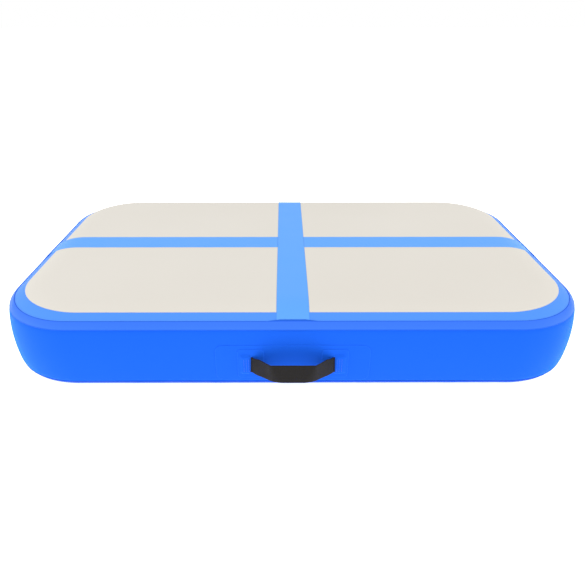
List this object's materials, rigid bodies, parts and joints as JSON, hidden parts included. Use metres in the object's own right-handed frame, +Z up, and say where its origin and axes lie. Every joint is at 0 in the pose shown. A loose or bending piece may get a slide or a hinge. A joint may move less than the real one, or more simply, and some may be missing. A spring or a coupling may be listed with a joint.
{
  "type": "inflatable air track mat",
  "caption": "Rectangular drop-stitch inflatable tumbling mat with rounded corners, cream panels divided by blue stripes, webbing carrying handles and an inflation valve.",
  "frame": {"origin": "on the floor, under the middle of the mat", "axes": "+X along the length, -Y towards the front handle, +Y towards the handle beside the valve, +Z up"},
  "size_m": [1, 0.6866, 0.1506],
  "materials": {
    "cream_panel": "matte",
    "stripe_blue": "satin",
    "light_blue_skin": "satin",
    "underside_skin": "satin",
    "royal_blue_pvc": "satin",
    "rim_tape": "satin",
    "core_thread": "matte",
    "webbing": "matte",
    "stitching": "matte",
    "valve_plastic": "satin",
    "valve_rubber": "matte",
    "spring_steel": "polished",
    "keeper_plastic": "satin"
  },
  "bodies": {
    "mat": {"bottom_rim_tape": "rim_tape", "bottom_skin": "underside_skin", "drop_stitch_threads": "core_thread", "front_handle_left_anchor": "royal_blue_pvc", "front_handle_left_stitches": "stitching", "front_handle_left_tail": "webbing", "front_handle_patch": "royal_blue_pvc", "front_handle_right_anchor": "royal_blue_pvc", "front_handle_right_stitches": "stitching", "front_handle_right_tail": "webbing", "panel_front_left": "cream_panel", "panel_front_right": "cream_panel", "panel_rear_left": "cream_panel", "panel_rear_right": "cream_panel", "rear_handle_left_anchor": "royal_blue_pvc", "rear_handle_left_stitches": "stitching", "rear_handle_left_tail": "webbing", "rear_handle_patch": "royal_blue_pvc", "rear_handle_right_anchor": "royal_blue_pvc", "rear_handle_right_stitches": "stitching", "rear_handle_right_tail": "webbing", "side_band": "royal_blue_pvc", "side_band_lap_strip": "royal_blue_pvc", "stripe_crosswise": "stripe_blue", "stripe_lengthwise": "stripe_blue", "top_rim_tape": "rim_tape", "top_skin": "light_blue_skin", "valve_back_nut": "valve_plastic", "valve_body": "valve_plastic", "valve_gasket": "valve_rubber", "valve_patch": "royal_blue_pvc", "valve_spring": "spring_steel", "valve_tether_base": "keeper_plastic", "valve_tether_strap": "keeper_plastic"},
    "front_handle": {"front_handle_loop": "webbing"},
    "rear_handle": {"rear_handle_loop": "webbing"},
    "valve_keeper": {"valve_tether_ring": "keeper_plastic"},
    "valve_cap": {"valve_cap": "valve_plastic", "valve_cap_seal": "valve_rubber"},
    "valve_plunger": {"valve_plunger": "valve_plastic", "valve_seal_disc": "valve_rubber", "valve_clip": "spring_steel"}
  },
  "joints": [
    {"name": "front_handle_swing", "type": "hinge", "parent": "mat", "child": "front_handle", "pos_m": [0, -0.3, 0.064], "axis": [-1, 0, 0], "range_deg": [-50, 26]},
    {"name": "rear_handle_swing", "type": "hinge", "parent": "mat", "child": "rear_handle", "pos_m": [0, 0.3, 0.064], "axis": [1, 0, 0], "range_deg": [-50, 26]},
    {"name": "valve_cap_lift", "type": "slide", "parent": "mat", "child": "valve_keeper", "axis": [0, 1, 0], "range_m": [0, 0.025], "deforming": ["valve_tether_strap"]},
    {"name": "valve_cap_turn", "type": "hinge", "parent": "valve_keeper", "child": "valve_cap", "pos_m": [-0.28, 0.3, 0.075], "axis": [0, 1, 0], "range_deg": [0, 90]},
    {"name": "valve_press", "type": "slide", "parent": "mat", "child": "valve_plunger", "axis": [0, -1, 0], "range_m": [0, 0.004], "stiffness_N_per_m": 800, "springref_m": -0.002, "deforming": ["valve_spring"]}
  ]
}
